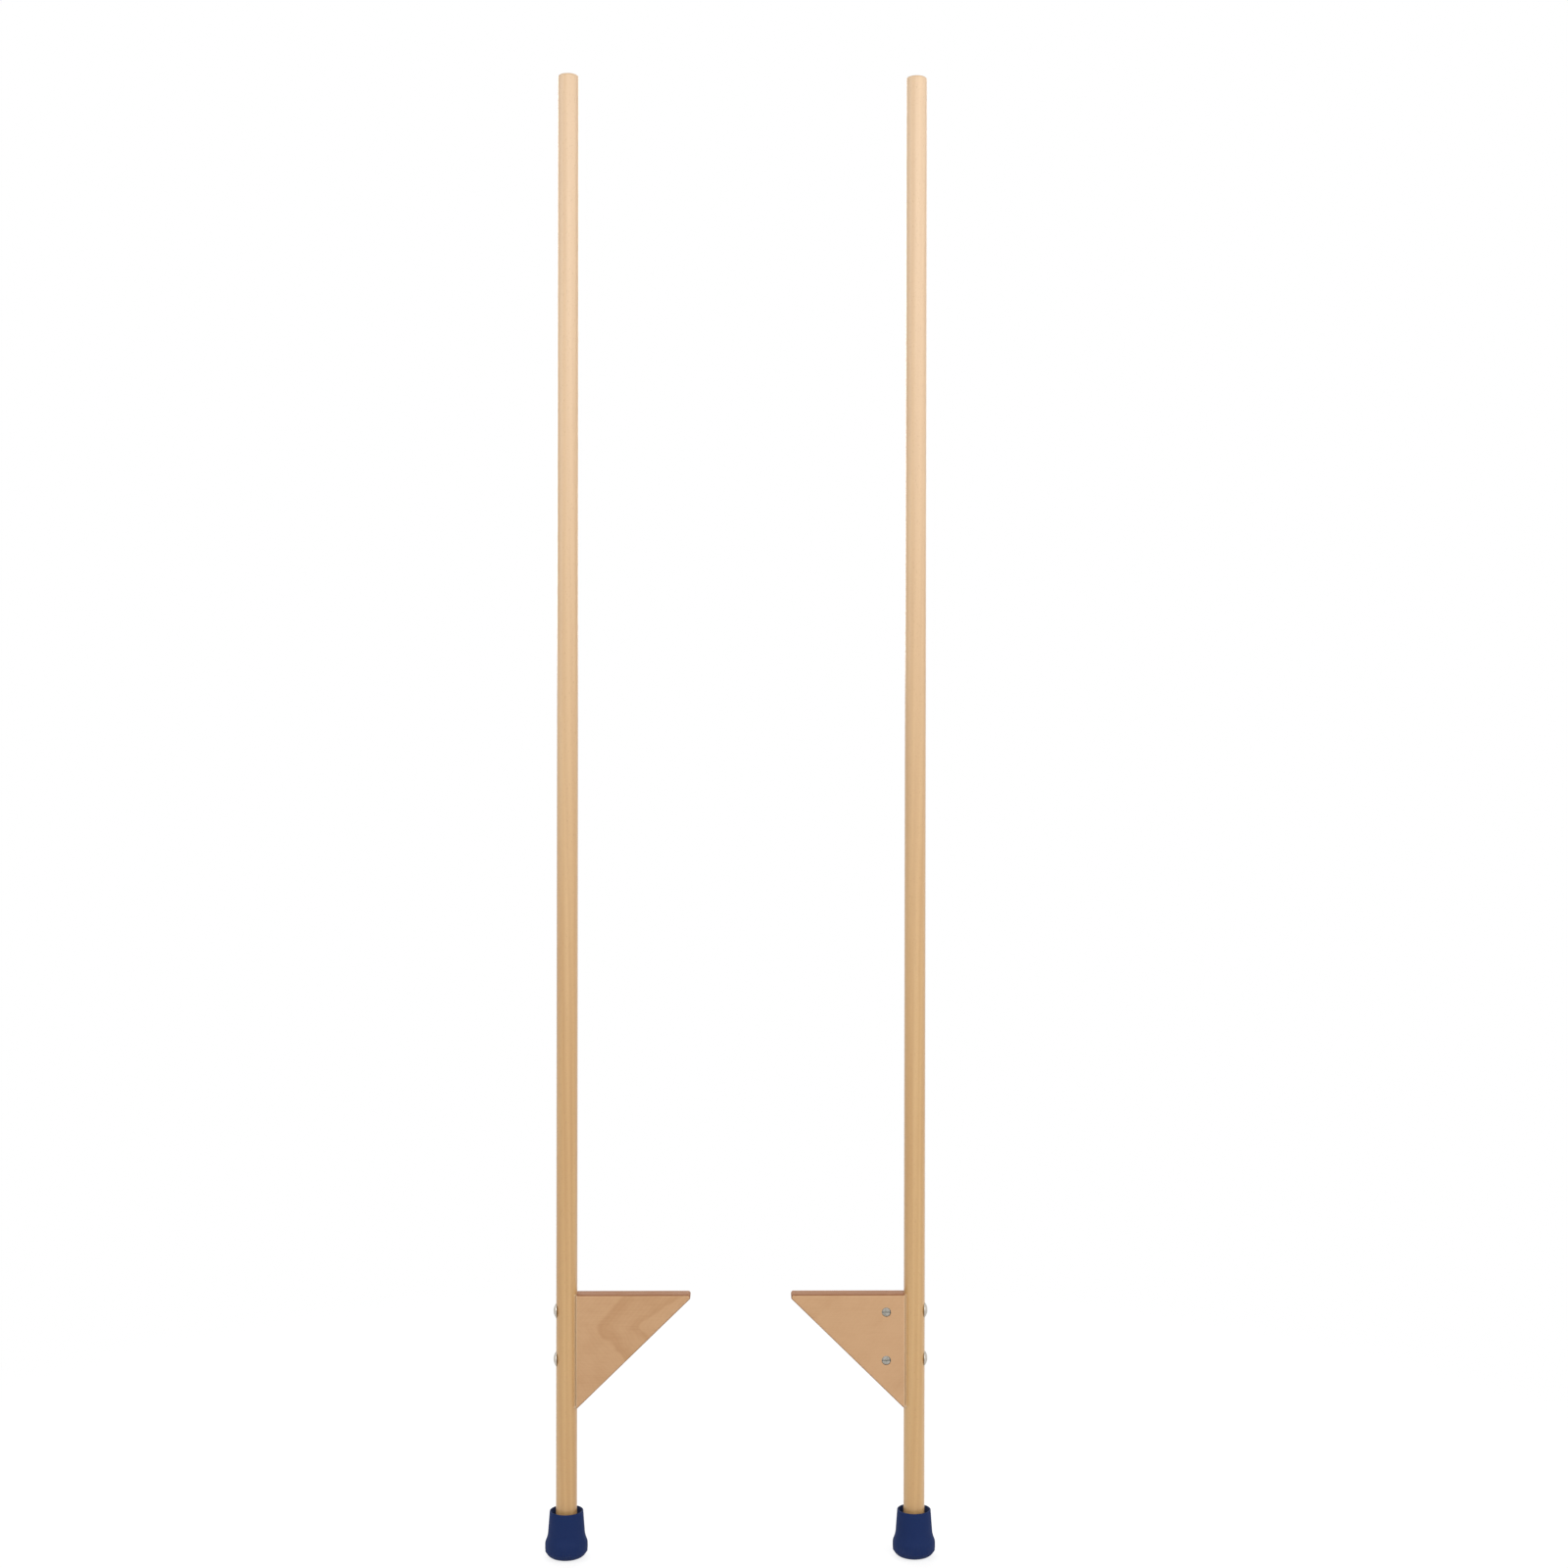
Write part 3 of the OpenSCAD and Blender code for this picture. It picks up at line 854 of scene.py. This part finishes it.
class STILTS_OT_barrel_nuts(Operator):
    """Turns the four barrel nuts, with a screwdriver slot and a cross hole for the bolt"""

    bl_idname = "stilts.barrel_nuts"
    bl_label = "Barrel nuts"

    def execute(self, context):
        size = context.scene.stilt_nut
        colours = context.scene.stilt_colours
        finishes = {
            side: zinc("dull_zinc", side, colours.zinc, colours.zinc_dull, ZINC_ROUGH["nut"])
            for side in SIDES
        }
        for level in LEVELS:
            nut = self.turned(size, BOLT_Z[level])
            for side in SIDES:
                set_piece(
                    nut, side + "_" + level + "_slotted_nut", side, side + "_" + level + "_barrel_nut",
                    finishes[side], SHARP["nut"]
                )
            nut.free()
        return {"FINISHED"}

    def turned(self, size, height):
        """One nut with its chamfers, cross hole and slot."""
        nut = rod(size.radius, (size.axis, size.inner, height), (size.axis, size.outer, height))
        ends = [edge for edge in nut.edges if abs(edge.verts[0].co.y - edge.verts[1].co.y) < MERGE]
        bmesh.ops.bevel(
            nut, geom=ends, offset=size.chamfer, offset_type="OFFSET", affect="EDGES",
            segments=FACETS["nut_chamfer"], profile=0.5, material=-1
        )
        nut = cut_away(nut, bolt_rod(
            size.bore_radius, size.axis - size.radius - OVERRUN, size.axis + size.radius + OVERRUN, height
        ))
        # The cutter is twice as long as the slot and twice as deep, its middle on the nut's end
        slot = bmesh.new()
        bmesh.ops.create_cube(slot, size=1.0)
        bmesh.ops.scale(
            slot, verts=slot.verts[:], vec=(4 * size.radius, 2 * size.slot_depth, size.slot_width)
        )
        bmesh.ops.translate(slot, verts=slot.verts[:], vec=(size.axis, size.outer, height))
        return cut_away(nut, slot)


class STILTS_OT_ferrules(Operator):
    """Moulds both rubber ferrules from arcs that run into each other"""

    bl_idname = "stilts.ferrules"
    bl_label = "Ferrules"

    def execute(self, context):
        ferrule = self.drawn(context.scene.stilt_ferrule).turned()
        for side in SIDES:
            set_piece(
                ferrule, side + "_rubber_foot", side, side + "_ferrule",
                rubber(side, context.scene.stilt_colours), SHARP["ferrule"]
            )
        ferrule.free()
        return {"FINISHED"}

    def drawn(self, size):
        """The half section: the sole, up the outside, over the lip and down the socket."""
        taper = math.atan2(size.waist - size.rim, size.height - size.waist_z)
        lean = Vector((math.cos(taper), math.sin(taper)))
        waist = Vector((size.waist, size.waist_z))
        # The centres of the arcs: the bulge touches the flare, and the flare runs into the taper at the waist
        flare = waist + size.flare * lean
        bulge_x = size.foot - size.bulge
        reach = size.bulge + size.flare
        bulge = Vector((bulge_x, flare.y - math.sqrt(reach ** 2 - (flare.x - bulge_x) ** 2)))
        crossing = math.atan2(flare.y - bulge.y, flare.x - bulge.x)
        base = Vector((size.foot - size.base_round, size.base_round))
        lip = Vector((size.rim - size.lip, size.height - size.lip))
        # Angles on the round base, down from the level of its centre: the seam's ridge, and half its width
        seam = math.asin((base.y - size.seam_z) / size.base_round)
        seam_half = size.seam / size.base_round

        outline = Outline(0, 0)
        for ring in range(size.grooves):
            outer = size.groove + ring * size.groove_pitch
            outline.line(outer - size.groove_width, 0)
            outline.line(outer - size.groove_width, size.groove_depth)
            outline.line(outer, size.groove_depth)
            outline.line(outer, 0)
        outline.line(base.x, 0)
        outline.arc(base, math.degrees(seam + seam_half) - 90, FACETS["base"])
        for turn, out in ((seam, size.seam), (seam - seam_half, 0.0)):
            reach_out = size.base_round + out
            outline.line(base.x + reach_out * math.cos(turn), base.y - reach_out * math.sin(turn))
        outline.arc(base, -math.degrees(seam - seam_half), FACETS["above_seam"])
        outline.line(size.foot, bulge.y)
        outline.arc(bulge, -math.degrees(crossing), FACETS["bulge"])
        outline.arc(flare, math.degrees(crossing - taper), FACETS["flare"])
        edge = lip + size.lip * lean
        outline.line(edge.x, edge.y)
        outline.arc(lip, math.degrees(taper) - 90, FACETS["lip"])
        outline.line(size.rim - 2 * size.lip, size.height)
        outline.line(size.socket, size.height - size.mouth)
        outline.line(size.socket, size.floor)
        outline.line(0, size.floor)
        return outline


class STILTS_OT_washers(Operator):
    """Gives the steel washers inside the ferrules their finish"""

    bl_idname = "stilts.washers"
    bl_label = "Washers"

    def execute(self, context):
        colours = context.scene.stilt_colours
        for side in SIDES:
            finish = zinc("washer_zinc", side, colours.zinc, colours.zinc_dull, ZINC_ROUGH["washer"])
            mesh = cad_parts[side + "_ferrule_washer"].data
            mesh.materials.clear()
            mesh.materials.append(finish)
        return {"FINISHED"}


def soft_box(name, spot, target, size, watts):
    """A large soft light that faces a point."""
    light = bpy.data.lights.new(name, "AREA")
    light.shape = "RECTANGLE"
    light.size, light.size_y = size
    light.energy = watts
    made = bpy.data.objects.new(name, light)
    made.location = spot
    made.rotation_euler = (Vector(target) - Vector(spot)).to_track_quat("-Z", "Y").to_euler()
    bpy.context.scene.collection.objects.link(made)
    made.visible_camera = False


def seen_directly(tree):
    """Above zero for rays that show the background: from the camera, a gloss or a clear piece."""
    path = tree.nodes.new("ShaderNodeLightPath")
    shown = path.outputs["Is Camera Ray"]
    for ray in ("Is Glossy Ray", "Is Transmission Ray"):
        either = tree.nodes.new("ShaderNodeMath")
        either.operation = "MAXIMUM"
        tree.links.new(shown, either.inputs[0])
        tree.links.new(path.outputs[ray], either.inputs[1])
        shown = either.outputs[0]
    return shown


class STILTS_OT_stage(Operator):
    """Lays the pale floor, hangs the soft lights and sets the camera"""

    bl_idname = "stilts.stage"
    bl_label = "Stage"

    def execute(self, context):
        settings = context.scene.stilt_stage
        context.scene.view_settings.view_transform = "Standard"
        self.lay_floor(context.scene, settings)
        self.light_sky(context.scene, settings)
        for name, (spot, target, size, setting) in SOFT_BOXES.items():
            soft_box(name, spot, target, size, getattr(settings, setting))
        self.set_camera(context.scene, settings)
        return {"FINISHED"}

    def lay_floor(self, scene, settings):
        """A white sheet that keeps some of the stilts' shadow near them."""
        sheet = bmesh.new()
        bmesh.ops.create_grid(sheet, x_segments=1, y_segments=1, size=FLOOR_REACH)
        mesh = bpy.data.meshes.new("floor")
        sheet.to_mesh(mesh)
        sheet.free()
        floor = bpy.data.objects.new("floor", mesh)
        scene.collection.objects.link(floor)
        skin = Finish("floor")
        skin.surface(Base_Color=PALE_GREY, Roughness=0.9, Specular_IOR_Level=0.1)
        white = skin.add("ShaderNodeEmission", {"Color": WHITE, "Strength": 1.0})
        matt = skin.add("ShaderNodeBsdfDiffuse", {"Color": WHITE})
        glow = skin.add("ShaderNodeEmission", {"Color": WHITE, "Strength": FLOOR_GLOW})
        paper = skin.add("ShaderNodeAddShader", {0: matt, 1: glow})
        at = skin.add("ShaderNodeTexCoord", {}, "Object")
        away = skin.add("ShaderNodeVectorMath", {0: at}, "Value", operation="LENGTH")
        near = skin.fade(away, SHADOW_FADE, (settings.shadow, 0.0))
        shaded = skin.add("ShaderNodeMixShader", {0: near, 1: white, 2: paper})
        shown = seen_directly(skin.tree)
        seen = skin.add("ShaderNodeMixShader", {0: shown, 1: skin.shader.outputs[0], 2: shaded})
        skin.tree.links.new(seen, skin.tree.nodes["Material Output"].inputs[0])
        mesh.materials.append(skin.material)

    def light_sky(self, scene, settings):
        """White where it is seen, and a soft light all round."""
        world = bpy.data.worlds.new("sky")
        world.use_nodes = True
        tree = world.node_tree
        white = tree.nodes["Background"]
        soft = tree.nodes.new("ShaderNodeBackground")
        for background, strength in ((white, 1.0), (soft, settings.sky)):
            background.inputs[0].default_value = WHITE
            background.inputs[1].default_value = strength
        mix = tree.nodes.new("ShaderNodeMixShader")
        tree.links.new(seen_directly(tree), mix.inputs[0])
        tree.links.new(soft.outputs[0], mix.inputs[1])
        tree.links.new(white.outputs[0], mix.inputs[2])
        tree.links.new(mix.outputs[0], tree.nodes["World Output"].inputs[0])
        scene.world = world

    def set_camera(self, scene, settings):
        """A camera in front of the stilts, almost level."""
        camera = bpy.data.cameras.new("camera")
        camera.lens = settings.lens
        camera.sensor_width = SENSOR_WIDTH
        made = bpy.data.objects.new("camera", camera)
        made.location = settings.camera
        made.rotation_euler = (math.pi / 2 + settings.tilt, -settings.roll, settings.pan)
        scene.collection.objects.link(made)
        scene.camera = made


PIECE_OPERATORS = (
    STILTS_OT_poles,
    STILTS_OT_step_blocks,
    STILTS_OT_bolts,
    STILTS_OT_barrel_nuts,
    STILTS_OT_ferrules,
    STILTS_OT_washers,
    STILTS_OT_stage,
)

SCENE_GROUPS = {
    "stilt_pole": PoleSizes,
    "stilt_step": StepSizes,
    "stilt_bolt": BoltSizes,
    "stilt_nut": NutSizes,
    "stilt_ferrule": FerruleSizes,
    "stilt_colours": StiltColours,
    "stilt_stage": StageSettings,
}


class STILTS_PT_panel(Panel):
    """Buttons and values of the stilts"""

    bl_idname = "STILTS_PT_panel"
    bl_label = "Stilts"
    bl_space_type = "VIEW_3D"
    bl_region_type = "UI"
    bl_category = "Stilts"

    def draw(self, context):
        for operator in PIECE_OPERATORS:
            self.layout.operator(operator.bl_idname)
        for key, group in SCENE_GROUPS.items():
            box = self.layout.box()
            box.label(text=group.__doc__)
            for name in group.__annotations__:
                box.prop(getattr(context.scene, key), name)


CLASSES = tuple(SCENE_GROUPS.values()) + PIECE_OPERATORS + (STILTS_PT_panel,)


def register():
    for made in CLASSES:
        bpy.utils.register_class(made)
    for key, group in SCENE_GROUPS.items():
        setattr(bpy.types.Scene, key, PointerProperty(type=group))


def unregister():
    for key in SCENE_GROUPS:
        delattr(bpy.types.Scene, key)
    for made in reversed(CLASSES):
        bpy.utils.unregister_class(made)


def main():
    register()
    bpy.ops.stilts.poles()
    bpy.ops.stilts.step_blocks()
    bpy.ops.stilts.bolts()
    bpy.ops.stilts.barrel_nuts()
    bpy.ops.stilts.ferrules()
    bpy.ops.stilts.washers()
    bpy.ops.stilts.stage()


if __name__ == "__main__":
    main()
